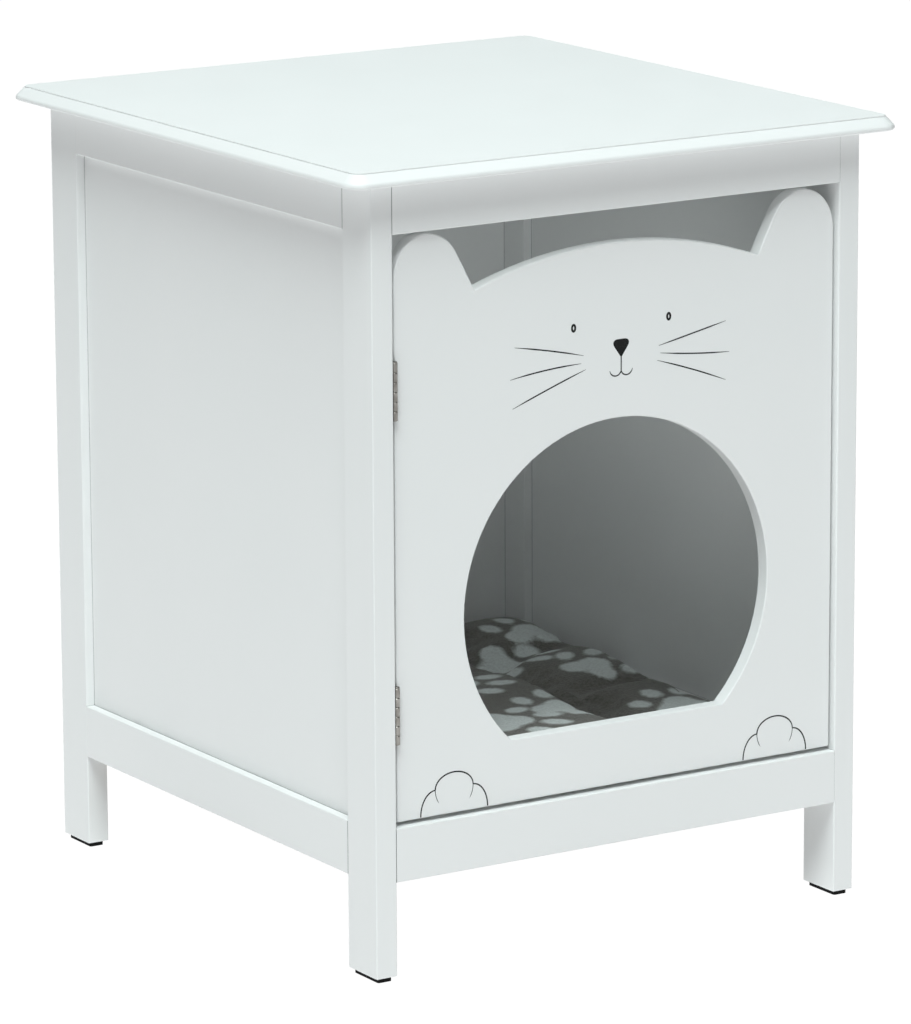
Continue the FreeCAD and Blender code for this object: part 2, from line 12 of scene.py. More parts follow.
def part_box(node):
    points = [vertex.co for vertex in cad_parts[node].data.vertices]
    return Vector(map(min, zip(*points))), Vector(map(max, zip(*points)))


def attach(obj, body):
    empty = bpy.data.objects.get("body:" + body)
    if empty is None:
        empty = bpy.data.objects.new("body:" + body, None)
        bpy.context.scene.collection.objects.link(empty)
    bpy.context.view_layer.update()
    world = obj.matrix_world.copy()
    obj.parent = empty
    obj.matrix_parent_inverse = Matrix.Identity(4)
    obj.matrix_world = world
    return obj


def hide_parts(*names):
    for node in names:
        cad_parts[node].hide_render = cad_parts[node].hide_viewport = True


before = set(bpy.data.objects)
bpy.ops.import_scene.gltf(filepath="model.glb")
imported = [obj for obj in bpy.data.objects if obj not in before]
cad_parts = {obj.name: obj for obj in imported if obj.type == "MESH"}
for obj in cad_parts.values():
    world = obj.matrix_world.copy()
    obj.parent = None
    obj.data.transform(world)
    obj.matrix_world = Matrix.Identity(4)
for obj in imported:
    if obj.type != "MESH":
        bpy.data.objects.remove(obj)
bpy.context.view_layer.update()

bl_info = {
    "name": "Cat house looks",
    "version": (1, 0, 0),
    "blender": (4, 5, 0),
    "location": "View3D > Sidebar > Cat house",
    "description": "Lacquer, print, fleece pad, fittings and stage for the packed cat house",
    "category": "Object",
}

MM = 0.001

# Grain runs along each board of the frame; boards that are not named here are fibreboard
GRAIN = {
    "leg_": "Z",
    "side_top_rail_": "Y",
    "side_bottom_rail_": "Y",
    "front_": "X",
    "rear_": "X",
}
FIBREBOARD = ("tabletop", "door", "side_panel_left", "side_panel_right", "back_panel", "floor_panel")

# Printed lines as start, middle and end, in mm from the middle of the door's lower edge
WHISKERS = (
    ((-91.75, 344.9), (-61.5, 339.3), (-31.1, 332.3)),
    ((-95.75, 321.1), (-65.75, 324.9), (-33.1, 326.5)),
    ((-93.75, 299.1), (-61.75, 310.7), (-29.1, 321.6)),
    ((36.25, 332.4), (66.25, 338.4), (96.9, 344.7)),
    ((37.6, 326.7), (68.9, 322.9), (100.25, 320.8)),
    ((34.9, 321.3), (66.25, 311.2), (96.9, 299.6)),
)
MOUTH = (
    ((2.4, 317.1), (-3.1, 313.7), (-7.75, 318.0)),
    ((2.4, 317.1), (7.6, 313.7), (12.5, 318.3)),
)
STEM = ((2.4, 328.0), (2.45, 322.4), (2.4, 317.0))
NOSE = ((-7.6, 341.3), (12.4, 341.3), (2.4, 327.2))
EYES = ((-39.9, 353.9), (45.05, 353.7))
PAW_MIDDLES = (-146.2, 144.5)

# Each paw's lines as ellipse middle, radii, first angle and sweep, in mm and degrees from its foot
PAW_LINES = (
    ((-16.55, 0.8), (12.85, 18.8), 180, -90),
    ((16.6, 0.8), (12.7, 18.8), 0, 90),
    ((0.0, 19.6), (16.6, 11.8), 180, -180),
    ((0.0, 19.6), (16.6, 17.5), 180, 37),
    ((0.0, 19.6), (16.6, 17.5), 0, -37),
)

# Paw prints on the fleece as x and y in mm, the way the toes point in degrees, and a size share
FLEECE_PRINTS = (
    (160, 39, 36, 1.0),
    (122, 114, 315, 1.0),
    (172, 150, 75, 1.0),
    (160, -86, 78, 1.0),
    (45, -88, 60, 1.0),
    (-12, -106, 345, 1.0),
    (10, 6, 355, 1.0),
    (30, 95, 120, 0.95),
    (-45, 70, 200, 1.0),
    (45, 178, 20, 1.0),
    (-30, 165, 300, 1.0),
    (120, -165, 40, 1.0),
    (40, -178, 200, 1.0),
    (-50, -180, 60, 0.95),
    (-75, -50, 140, 1.0),
    (-120, -125, 320, 1.0),
    (-168, -180, 20, 1.0),
    (-165, -60, 80, 1.0),
    (-115, 20, 250, 0.95),
    (-168, 70, 330, 1.0),
    (-112, 112, 30, 1.0),
    (-165, 165, 200, 1.0),
    (-98, 192, 110, 0.9),
)

# Crowns of the pad's puffs at places along it, and the side puffs' shares across it, in mm and shares
PUFF_PLACES = (-220, -120, 0, 66, 112, 150, 185, 220)
MIDDLE_CROWNS = (41.0, 42.5, 44.0, 43.5, 42.0, 41.0, 41.0, 40.0)
RIGHT_CROWNS = (25.0, 26.5, 29.5, 33.5, 34.0, 36.0, 38.5, 38.5)
LEFT_CROWNS = (30.0, 33.0, 34.0, 33.0, 34.0, 35.0, 35.0, 34.0)
RIGHT_ACROSS = (90, 105, 130, 165, 197)
RIGHT_SHARES = (0.58, 0.74, 0.93, 1.02, 1.0)

# One print, with its pad's half width as 1: toes as middle, half sizes and turn in degrees
TOES = (
    (-1.22, 0.58, 0.31, 0.44, 28),
    (-0.48, 1.38, 0.32, 0.50, 9),
    (0.48, 1.38, 0.32, 0.50, -9),
    (1.22, 0.58, 0.31, 0.44, -28),
)

# A print's pad as round lobes, each with middle and radius, and how far they run into each other
PAD_LOBES = (
    (-0.52, -0.42, 0.46),
    (0.52, -0.42, 0.46),
    (0.0, 0.22, 0.52),
)
LOBE_BLEND = 0.45

# How a printed line narrows: over this share of its length, to these shares of its width at its ends
TAPER_SHARE = 0.25
WHISKER_ENDS = (0.25, 0.25)
MOUTH_ENDS = (1.0, 0.3)
STEM_ENDS = (1.0, 1.0)
PAW_ENDS = (1.0, 0.8)
TAIL_ENDS = (1.0, 0.1)

# A paw's inner lines sweep less than this in degrees, and have this share of the width
TAIL_SWEEP = 60
TAIL_WIDTH_SHARE = 0.5

# The pad's creases and rounded edges, in mm but for the shares of the height that are left at an edge
CREASE = 90
CREASE_RUN = 12
SEAM_DROP = 2
SIDE_ROUND = 6
END_ROUND = 10
SIDE_SHARE = 0.86
END_SHARE = 0.65

# The middle puff falls by this share at its creases, most of it close to them
PUFF_FALL_SHARE = 0.5
PUFF_POWER = 10

# A dimple in the right puff as middle, reach and depth in mm
DIMPLE_MIDDLE = (150, 112)
DIMPLE_REACH = (35, 22)
DIMPLE_DEPTH = 5

# Slow waves in the cloth as height in mm and turn per mm across and along, and where the first one starts
CROSSED_WAVE = (0.9, 0.061, 0.043)
SLANTED_WAVE = (0.6, 0.023, 0.037)
WAVE_START = (1.3, 0.4)

# The pad's grid, how far its underside is tucked in, and the room it may take below and above its solid in mm
PAD_GRID = (80, 88)
TUCK_SHARE = 0.97
ROOM_BELOW = (-0.8, -0.8, 0.2)
ROOM_ABOVE = (0.8, 0.8, 4.0)

# While the cloth fills, its base is held up to a height that fades over a run, and so are the creases, in mm
HELD_BASE = 6
HELD_RUN = 4
HELD_CREASE = 6
LEAST_WEIGHT = 0.02
FILL_FRAMES = 20

# Prints run on down the pad's sides below this height in mm, where the cloth faces outward, and not beneath
FOLD_HEIGHT = 20
SIDE_FACING = 0.5
UNDER_FACING = -0.3

# Heights in mm of the floor that is seen and of the one that gives light, and what the first one scatters
FLOOR_HEIGHT = -0.2
BOUNCE_HEIGHT = -0.4
SCATTER_SHARE = 0.06
FLOOR_SEGMENTS = 96

# The lamps as size, place and aim, in metres
LAMPS = {
    "key_softbox": (2.6, (-1.65, -1.85, 4.8), (0, 0, 0.4)),
    "overhead_softbox": (2.6, (0.4, 0.7, 3.6), (0, 0, 0.3)),
    "den_fill": (0.12, (-0.12, -0.16, 0.40), (0.20, 0.10, 0.43)),
    "pad_fill": (0.10, (-0.07, -0.15, 0.43), (-0.02, -0.08, 0.12)),
}
SOFTBOX_SPREAD = 180
FILL_SPREAD = 100
VIEW_END = 200
DIFFUSE_BOUNCES = 10


def linear(code):
    """An sRGB hex colour as linear RGB."""
    shares = [int(code[i:i + 2], 16) / 255 for i in (1, 3, 5)]
    return tuple(c / 12.92 if c <= 0.04045 else ((c + 0.055) / 1.055) ** 2.4 for c in shares)


def per(size):
    """A pattern's scale from its real size in mm."""
    return 1 / (size * MM)


def colour(label, words, code):
    """A colour property."""
    return FloatVectorProperty(
        name=label, description=words, subtype="COLOR", size=3, min=0.0, max=1.0, default=linear(code)
    )


def length(label, words, size):
    """A length property, given in mm."""
    return FloatProperty(name=label, description=words, unit="LENGTH", precision=5, default=size * MM)


def metres(label, words, size):
    """A length property, given in metres."""
    return FloatProperty(name=label, description=words, unit="LENGTH", default=size)


def angle(label, words, degrees):
    """An angle property, given in degrees."""
    return FloatProperty(name=label, description=words, unit="ROTATION", default=radians(degrees))


def power(label, words, watts):
    """A lamp's power property."""
    return FloatProperty(name=label, description=words, unit="POWER", default=watts)


def number(label, words, amount):
    """A plain number property."""
    return FloatProperty(name=label, description=words, default=amount)


def part_of(label, words, share):
    """A property that is a share of a whole."""
    return FloatProperty(name=label, description=words, subtype="FACTOR", default=share)


class CathouseFinishes(PropertyGroup):
    """Colours of the finishes."""

    lacquer: colour("Lacquer", "Satin white lacquer", "#EDEDED")
    lacquer_shade: colour("Lacquer shade", "Where the lacquer lies thinner", "#EAEBEB")
    # Painted shade: the dark colour that ambient occlusion lays into the lacquer's joints and inner corners
    seam: colour("Seam", "Hairline in the joints, where the spray does not reach", "#5F6162")
    ink: colour("Ink", "Screen-printed lines on the door", "#0A0B0B")
    fleece: colour("Fleece", "Ground of the fleece", "#85827D")
    fleece_deep: colour("Fleece depth", "Fleece between the tufts", "#6A6762")
    fleece_print: colour("Fleece print", "Paw prints on the fleece", "#EEF4F3")
    nickel: colour("Nickel", "Plated hinges, brackets and screws", "#B2AFAB")
    nickel_dull: colour("Dull nickel", "Handled and rubbed plating", "#77706A")
    zinc: colour("Zinc", "Die-cast cam fittings", "#A9ABAC")
    pine: colour("Pine", "Early wood of the unpainted cleats and dowels", "#D9B98A")
    pine_late: colour("Late pine", "Late wood of the unpainted cleats and dowels", "#B88A55")
    plastic: colour("Catch plastic", "Moulded body of the catch", "#E4E4E0")
    ferrite: colour("Ferrite", "Sintered magnet", "#2B2C2E")
    felt: colour("Felt", "Pads under the legs", "#0B0B0B")


class CathousePrint(PropertyGroup):
    """Sizes of the printed face and paws."""

    film: length("Film", "Ink above the lacquer", 0.06)
    sunk: length("Sunk", "Ink below the lacquer's face", 0.04)
    whisker: length("Whisker", "Width of a whisker at its middle", 1.0)
    mouth: length("Mouth", "Width of the mouth and the stem", 0.95)
    paw: length("Paw", "Width of a paw's line", 1.08)
    eye_width: length("Eye width", "Across an eye", 4.6)
    eye_height: length("Eye height", "Up an eye", 6.6)
    eye_ring: length("Eye ring", "Width of the black ring", 1.75)
    nose_round: length("Nose round", "Radius at the nose's upper corners", 3.7)
    steps: IntProperty(name="Steps", description="Steps along a printed line", default=28, min=4)


class CathousePad(PropertyGroup):
    """Sizes of the fleece pad."""

    voxel: length("Voxel", "Spacing of the pad's mesh before the cloth fills out", 5.0)
    inset: length("Inset", "How much smaller the pad starts", 2.0)
    cap: length("Cap", "How far a point of the cloth may move", 4.5)
    print_half: length("Print", "Half the width of a print's pad", 24.0)
    pressure: number("Pressure", "Filling pressure of the cloth", 1.5)
    slack: part_of("Slack", "Spare cloth as a share", 0.04)
    fill: part_of("Fill", "How full the pad is", 0.65)


class CathouseStage(PropertyGroup):
    """Camera, floor and lights."""

    lens: FloatProperty(name="Lens", description="Focal length", unit="CAMERA", default=211.852)
    sensor: FloatProperty(name="Sensor", description="Height of the sensor", unit="CAMERA", default=36.0)
    camera_place: FloatVectorProperty(
        name="Camera", description="Where the camera stands", subtype="TRANSLATION", unit="LENGTH",
        precision=5, default=(-2.45072, -3.86606, 1.33435)
    )
    yaw: angle("Yaw", "Turn to the right", 32.4273)
    pitch: angle("Pitch", "Tilt down", 12.9055)
    roll: angle("Roll", "Turn about the view", -0.2897)
    floor_reach: metres("Floor", "Radius of the floor", 40.0)
    backdrop: metres("Backdrop", "Height of the backdrop round the floor", 40.0)
    bounce_reach: metres("Bounce reach", "Radius of the lit floor round the object", 3.4)
    shade_reach: metres("Shade reach", "Radius of the shade under the object", 0.30)
    shade_core: metres("Shade core", "Radius of the shade's even middle", 0.20)
    shade: part_of("Shade", "Share of the floor's light left under the object", 0.2)
    floor: colour("Floor colour", "Pale floor and backdrop", "#FFFFFF")
    sky: colour("Sky", "Soft light from all round", "#FFFFFF")
    sky_strength: number("Sky strength", "Light from all round", 0.08)
    floor_glow: number("Floor glow", "Light of the floor that the camera sees", 1.0)
    floor_light: colour("Floor light", "Colour of the light from the floor", "#FBFFFF")
    floor_bounce: number("Floor bounce", "Light that the floor gives back", 1.25)
    key: power("Key", "Power of the key softbox", 252)
    overhead: power("Overhead", "Power of the overhead softbox", 36)
    key_light: colour("Key light", "Colour of the softboxes", "#F5FFFE")
    den: power("Den", "Power of the fill light in the den", 0.05)
    pad: power("Pad", "Power of the fill light on the pad", 0.05)


def blank(name):
    """An empty node material and its tree."""
    material = bpy.data.materials.new(name)
    material.use_nodes = True
    material.node_tree.nodes.clear()
    return material, material.node_tree


def add(tree, kind, sockets=None, **settings):
    """One node with its settings, its sockets linked or set."""
    node = tree.nodes.new(kind)
    for name, value in settings.items():
        setattr(node, name, value)
    for socket, value in (sockets or {}).items():
        if isinstance(value, bpy.types.NodeSocket):
            tree.links.new(value, node.inputs[socket])
        else:
            node.inputs[socket].default_value = value
    return node


def solid(tint):
    """A colour with full alpha."""
    return (*tint, 1.0)


def lacquer(name, finishes, grain=None):
    """Sprayed satin lacquer: near white, faint orange peel, painted shade in joints and inner corners, traces
    of grain.
    """
    material, tree = blank(name)
    place = add(tree, "ShaderNodeTexCoord").outputs["Object"]
    cloud = add(tree, "ShaderNodeTexNoise", {"Vector": place, "Scale": per(110), "Detail": 3.0})
    tint = add(tree, "ShaderNodeMix", {
        0: cloud.outputs[0], 6: solid(finishes.lacquer), 7: solid(finishes.lacquer_shade)
    }, data_type="RGBA")
    # Painted shade: ambient occlusion darkens the lacquer within about 1 mm of joints and inner corners,
    # standing in for the shade in the hairline gaps where boards meet
    near = add(tree, "ShaderNodeAmbientOcclusion", {"Distance": 1.2 * MM}, samples=8)
    seam = add(tree, "ShaderNodeMapRange", {0: near.outputs["AO"], 1: 0.4, 2: 0.75, 3: 0.8, 4: 0.0})
    tint = add(tree, "ShaderNodeMix", {
        0: seam.outputs[0], 6: tint.outputs[2], 7: solid(finishes.seam)
    }, data_type="RGBA")
    gloss = add(tree, "ShaderNodeTexNoise", {"Vector": place, "Scale": per(40), "Detail": 2.0})
    rough = add(tree, "ShaderNodeMapRange", {0: gloss.outputs[0], 1: 0.3, 2: 0.7, 3: 0.44, 4: 0.48})
    # Orange peel is about 2 mm from crest to crest, a few hundredths deep
    peel = add(tree, "ShaderNodeTexNoise", {"Vector": place, "Scale": per(2.4), "Detail": 1.0})
    bump = add(tree, "ShaderNodeBump", {"Strength": 0.6, "Distance": 0.05 * MM, "Height": peel.outputs[0]})
    if grain:
        # Grain lines are 1 to 2 mm apart and run on for a hand's width
        scale = [per(90) if axis == grain else per(1.6) for axis in "XYZ"]
        along = add(tree, "ShaderNodeMapping", {"Vector": place, "Scale": scale})
        lines = add(tree, "ShaderNodeTexNoise", {"Vector": along.outputs[0], "Scale": 1.0, "Detail": 2.0})
        bump = add(tree, "ShaderNodeBump", {
            "Strength": 0.5, "Distance": 0.06 * MM, "Height": lines.outputs[0], "Normal": bump.outputs[0]
        })
    shader = add(tree, "ShaderNodeBsdfPrincipled", {
        "Base Color": tint.outputs[2], "Roughness": rough.outputs[0], "IOR": 1.5, "Normal": bump.outputs[0]
    })
    add(tree, "ShaderNodeOutputMaterial", {"Surface": shader.outputs[0]})
    return material


def printed_ink(name, finishes):
    """Screen-printed ink: thin matt black film that follows the lacquer, a little uneven in cover."""
    material, tree = blank(name)
    place = add(tree, "ShaderNodeTexCoord").outputs["Object"]
    cover = add(tree, "ShaderNodeTexNoise", {"Vector": place, "Scale": per(1.2), "Detail": 2.0})
    share = add(tree, "ShaderNodeMapRange", {0: cover.outputs[0], 1: 0.55, 2: 0.9, 3: 0.0, 4: 0.06})
    tint = add(tree, "ShaderNodeMix", {
        0: share.outputs[0], 6: solid(finishes.ink), 7: solid(finishes.lacquer_shade)
    }, data_type="RGBA")
    rough = add(tree, "ShaderNodeMapRange", {0: cover.outputs[0], 1: 0.3, 2: 0.7, 3: 0.5, 4: 0.62})
    bump = add(tree, "ShaderNodeBump", {"Strength": 0.4, "Distance": 0.03 * MM, "Height": cover.outputs[0]})
    shader = add(tree, "ShaderNodeBsdfPrincipled", {
        "Base Color": tint.outputs[2], "Roughness": rough.outputs[0], "IOR": 1.48, "Specular IOR Level": 0.25,
        "Normal": bump.outputs[0]
    })
    add(tree, "ShaderNodeOutputMaterial", {"Surface": shader.outputs[0]})
    return material


def plated(name, bright, dull, low, high):
    """Plated or cast metal: fine tumbling marks, duller where it is handled."""
    material, tree = blank(name)
    place = add(tree, "ShaderNodeTexCoord").outputs["Object"]
    wear = add(tree, "ShaderNodeTexNoise", {"Vector": place, "Scale": per(7), "Detail": 4.0})
    tint = add(tree, "ShaderNodeMix", {
        0: wear.outputs[0], 6: solid(bright), 7: solid(dull)
    }, data_type="RGBA")
    rough = add(tree, "ShaderNodeMapRange", {0: wear.outputs[0], 1: 0.3, 2: 0.7, 3: low, 4: high})
    # Tumbling marks are finer than this; they are drawn at 0.5 mm so that they show
    marks = add(tree, "ShaderNodeTexNoise", {"Vector": place, "Scale": per(0.5), "Detail": 2.0})
    bump = add(tree, "ShaderNodeBump", {"Strength": 0.5, "Distance": 0.02 * MM, "Height": marks.outputs[0]})
    shader = add(tree, "ShaderNodeBsdfPrincipled", {
        "Base Color": tint.outputs[2], "Metallic": 1.0, "Roughness": rough.outputs[0],
        "Normal": bump.outputs[0]
    })
    add(tree, "ShaderNodeOutputMaterial", {"Surface": shader.outputs[0]})
    return material


def planed_pine(name, finishes):
    """Planed pine, unpainted: pale early wood, darker late wood in lines, matt with fine pores."""
    material, tree = blank(name)
    place = add(tree, "ShaderNodeTexCoord").outputs["Object"]
    along = add(tree, "ShaderNodeMapping", {"Vector": place, "Scale": (per(3), per(60), per(3))})
    rings = add(tree, "ShaderNodeTexNoise", {"Vector": along.outputs[0], "Scale": 1.0, "Detail": 3.0})
    share = add(tree, "ShaderNodeMapRange", {0: rings.outputs[0], 1: 0.4, 2: 0.62, 3: 0.0, 4: 1.0})
    tint = add(tree, "ShaderNodeMix", {
        0: share.outputs[0], 6: solid(finishes.pine), 7: solid(finishes.pine_late)
    }, data_type="RGBA")
    rough = add(tree, "ShaderNodeMapRange", {0: rings.outputs[0], 1: 0.3, 2: 0.7, 3: 0.55, 4: 0.7})
    bump = add(tree, "ShaderNodeBump", {"Strength": 0.6, "Distance": 0.1 * MM, "Height": rings.outputs[0]})
    shader = add(tree, "ShaderNodeBsdfPrincipled", {
        "Base Color": tint.outputs[2], "Roughness": rough.outputs[0], "IOR": 1.5, "Normal": bump.outputs[0]
    })
    add(tree, "ShaderNodeOutputMaterial", {"Surface": shader.outputs[0]})
    return material


def moulded(name, tint, low, high, size):
    """Moulded or pressed body, dark or light: spark-eroded texture, even colour with faint flow clouds."""
    material, tree = blank(name)
    place = add(tree, "ShaderNodeTexCoord").outputs["Object"]
    flow = add(tree, "ShaderNodeTexNoise", {"Vector": place, "Scale": per(14), "Detail": 2.0})
    shade = 0.88
    darker = tuple(part * shade for part in tint)
    body = add(tree, "ShaderNodeMix", {
        0: flow.outputs[0], 6: solid(tint), 7: solid(darker)
    }, data_type="RGBA")
    texture = add(tree, "ShaderNodeTexNoise", {"Vector": place, "Scale": per(size), "Detail": 2.0})
    rough = add(tree, "ShaderNodeMapRange", {0: texture.outputs[0], 1: 0.3, 2: 0.7, 3: low, 4: high})
    bump = add(tree, "ShaderNodeBump", {"Strength": 0.6, "Distance": 0.04 * MM, "Height": texture.outputs[0]})
    shader = add(tree, "ShaderNodeBsdfPrincipled", {
        "Base Color": body.outputs[2], "Roughness": rough.outputs[0], "IOR": 1.53, "Normal": bump.outputs[0]
    })
    add(tree, "ShaderNodeOutputMaterial", {"Surface": shader.outputs[0]})
    return material


def pressed_felt(name, finishes):
    """Pressed black felt: matted fibres, no gloss."""
    material, tree = blank(name)
    place = add(tree, "ShaderNodeTexCoord").outputs["Object"]
    fibres = add(tree, "ShaderNodeTexNoise", {"Vector": place, "Scale": per(0.9), "Detail": 4.0})
    gain, dust = 2.2, 0.004
    lighter = tuple(part * gain + dust for part in finishes.felt)
    tint = add(tree, "ShaderNodeMix", {
        0: fibres.outputs[0], 6: solid(finishes.felt), 7: solid(lighter)
    }, data_type="RGBA")
    rough = add(tree, "ShaderNodeMapRange", {0: fibres.outputs[0], 1: 0.3, 2: 0.7, 3: 0.88, 4: 1.0})
    bump = add(tree, "ShaderNodeBump", {"Strength": 0.8, "Distance": 0.3 * MM, "Height": fibres.outputs[0]})
    shader = add(tree, "ShaderNodeBsdfPrincipled", {
        "Base Color": tint.outputs[2], "Roughness": rough.outputs[0], "Specular IOR Level": 0.2,
        "Normal": bump.outputs[0]
    })
    add(tree, "ShaderNodeOutputMaterial", {"Surface": shader.outputs[0]})
    return material


def printed_fleece(name, finishes):
    """Brushed polyester fleece: short tufted pile with a soft sheen, light prints with furry edges."""
    material, tree = blank(name)
    place = add(tree, "ShaderNodeTexCoord").outputs["Object"]
    # Tufts are about 2 mm across
    tufts = add(tree, "ShaderNodeTexNoise", {
        "Vector": place, "Scale": per(2.2), "Detail": 4.0, "Roughness": 0.65
    })
    depth = add(tree, "ShaderNodeMapRange", {0: tufts.outputs[0], 1: 0.35, 2: 0.62, 3: 0.0, 4: 1.0})
    ground = add(tree, "ShaderNodeMix", {
        0: depth.outputs[0], 6: solid(finishes.fleece_deep), 7: solid(finishes.fleece)
    }, data_type="RGBA")
    # The print's edge strays by about 1 mm and fades over 4 mm; between the tufts a little ground shows
    gap = add(tree, "ShaderNodeAttribute", attribute_name="print_gap")
    fray = add(tree, "ShaderNodeTexNoise", {"Vector": place, "Scale": per(4), "Detail": 3.0})
    stray = add(tree, "ShaderNodeMapRange", {0: fray.outputs[0], 1: 0.2, 2: 0.8, 3: -1.2 * MM, 4: 1.2 * MM})
    edge = add(tree, "ShaderNodeMath", {0: gap.outputs["Fac"], 1: stray.outputs[0]}, operation="ADD")
    inside = add(tree, "ShaderNodeMapRange", {0: edge.outputs[0], 1: -1.8 * MM, 2: 1.8 * MM, 3: 0.95, 4: 0.0})
    dim = add(tree, "ShaderNodeMath", {0: inside.outputs[0], 1: depth.outputs[0]}, operation="MULTIPLY")
    share = add(tree, "ShaderNodeMix", {0: 0.2, 2: inside.outputs[0], 3: dim.outputs[0]})
    tint = add(tree, "ShaderNodeMix", {
        0: share.outputs[0], 6: ground.outputs[2], 7: solid(finishes.fleece_print)
    }, data_type="RGBA")
    rough = add(tree, "ShaderNodeMapRange", {0: tufts.outputs[0], 1: 0.3, 2: 0.7, 3: 0.85, 4: 1.0})
    bump = add(tree, "ShaderNodeBump", {"Strength": 0.9, "Distance": 1.2 * MM, "Height": tufts.outputs[0]})
    shader = add(tree, "ShaderNodeBsdfPrincipled", {
        "Base Color": tint.outputs[2], "Roughness": rough.outputs[0], "Specular IOR Level": 0.25,
        "Sheen Weight": 0.35, "Sheen Roughness": 0.45, "Normal": bump.outputs[0]
    })
    add(tree, "ShaderNodeOutputMaterial", {"Surface": shader.outputs[0]})
    return material


def dress(node, material):
    """The CAD node in one material."""
    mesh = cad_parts[node].data
    mesh.materials.clear()
    mesh.materials.append(material)


def placed(name, form, materials):
    """A new object from a bmesh, at the origin."""
    mesh = bpy.data.meshes.new(name)
    form.to_mesh(mesh)
    form.free()
    for material in materials:
        mesh.materials.append(material)
    piece = bpy.data.objects.new(name, mesh)
    bpy.context.scene.collection.objects.link(piece)
    return piece


def take(form, part):
    """Adds one bmesh to another and frees it."""
    mesh = bpy.data.meshes.new("part")
    part.to_mesh(mesh)
    part.free()
    form.from_mesh(mesh)
    bpy.data.meshes.remove(mesh)


def circle_through(first, middle, last):
    """Middle, radius, first angle and sweep of the circle through three points."""
    (ax, az), (bx, bz), (cx, cz) = first, middle, last
    double = 2 * (ax * (bz - cz) + bx * (cz - az) + cx * (az - bz))
    a, b, c = ax * ax + az * az, bx * bx + bz * bz, cx * cx + cz * cz
    x = (a * (bz - cz) + b * (cz - az) + c * (az - bz)) / double
    z = (a * (cx - bx) + b * (ax - cx) + c * (bx - ax)) / double
    start = atan2(az - z, ax - x)
    sweep = (atan2(cz - z, cx - x) - start + pi) % tau - pi
    return (x, z), hypot(ax - x, az - z), start, sweep


def printed_line(centre, radii, start, sweep, width, steps, ends):
    """A flat line along part of an ellipse in the door's plane, narrowing at its ends."""
    line = bmesh.new()
    tip = bmesh.ops.create_vert(line, co=(cos(start), 0, sin(start)))["vert"][0]
    bmesh.ops.spin(line, geom=[tip], axis=(0, -1, 0), angle=sweep, steps=steps)
    line.verts.index_update()
    bmesh.ops.scale(line, vec=(radii[0], 1, radii[1]), verts=line.verts[:])
    offsets = {}
    for vert in line.verts:
        along = vert.index / steps
        share = ends[0] + (1 - ends[0]) * min(1, along / TAPER_SHARE)
        share = min(share, ends[1] + (1 - ends[1]) * min(1, (1 - along) / TAPER_SHARE))
        normal = Vector((vert.co.x / radii[0] ** 2, 0, vert.co.z / radii[1] ** 2)).normalized()
        offsets[vert] = normal * width * share / 2
    grown = bmesh.ops.extrude_edge_only(line, edges=line.edges[:])
    for vert in grown["geom"]:
        if isinstance(vert, bmesh.types.BMVert):
            others = (edge.other_vert(vert) for edge in vert.link_edges)
            vert.co += offsets[next(other for other in others if other in offsets)]
    for vert, offset in offsets.items():
        vert.co -= offset
    bmesh.ops.translate(line, vec=(centre[0], 0, centre[1]), verts=line.verts[:])
    return line


def printed_film(form, sizes):
    """The flat print given its thickness and moved onto the door's front."""
    low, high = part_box("door")
    bmesh.ops.remove_doubles(form, verts=form.verts[:], dist=1e-6)
    grown = bmesh.ops.extrude_face_region(form, geom=form.faces[:], use_keep_orig=True)
    lifted = [part for part in grown["geom"] if isinstance(part, bmesh.types.BMVert)]
    bmesh.ops.translate(form, vec=(0, -sizes.film - sizes.sunk, 0), verts=lifted)
    foot = ((low[0] + high[0]) / 2, low[1] + sizes.sunk, low[2])
    bmesh.ops.translate(form, vec=foot, verts=form.verts[:])
    bmesh.ops.recalc_face_normals(form, faces=form.faces[:])


def applied(piece):
    """The piece with its modifiers made part of its mesh."""
    depsgraph = bpy.context.evaluated_depsgraph_get()
    mesh = bpy.data.meshes.new_from_object(piece.evaluated_get(depsgraph))
    piece.modifiers.clear()
    old = piece.data
    piece.data = mesh
    bpy.data.meshes.remove(old)


def points(mesh):
    """The mesh's points as an array."""
    flat = np.empty(len(mesh.vertices) * 3, dtype=np.float32)
    mesh.vertices.foreach_get("co", flat)
    return flat.reshape(-1, 3).astype(float)


def move_points(mesh, places):
    """Sets the mesh's points from an array."""
    mesh.vertices.foreach_set("co", places.astype(np.float32).ravel())
    mesh.update()


def bell(distance, width):
    """1 at no distance, fading to 0 over about twice the width."""
    return np.exp(-(distance / width) ** 2)


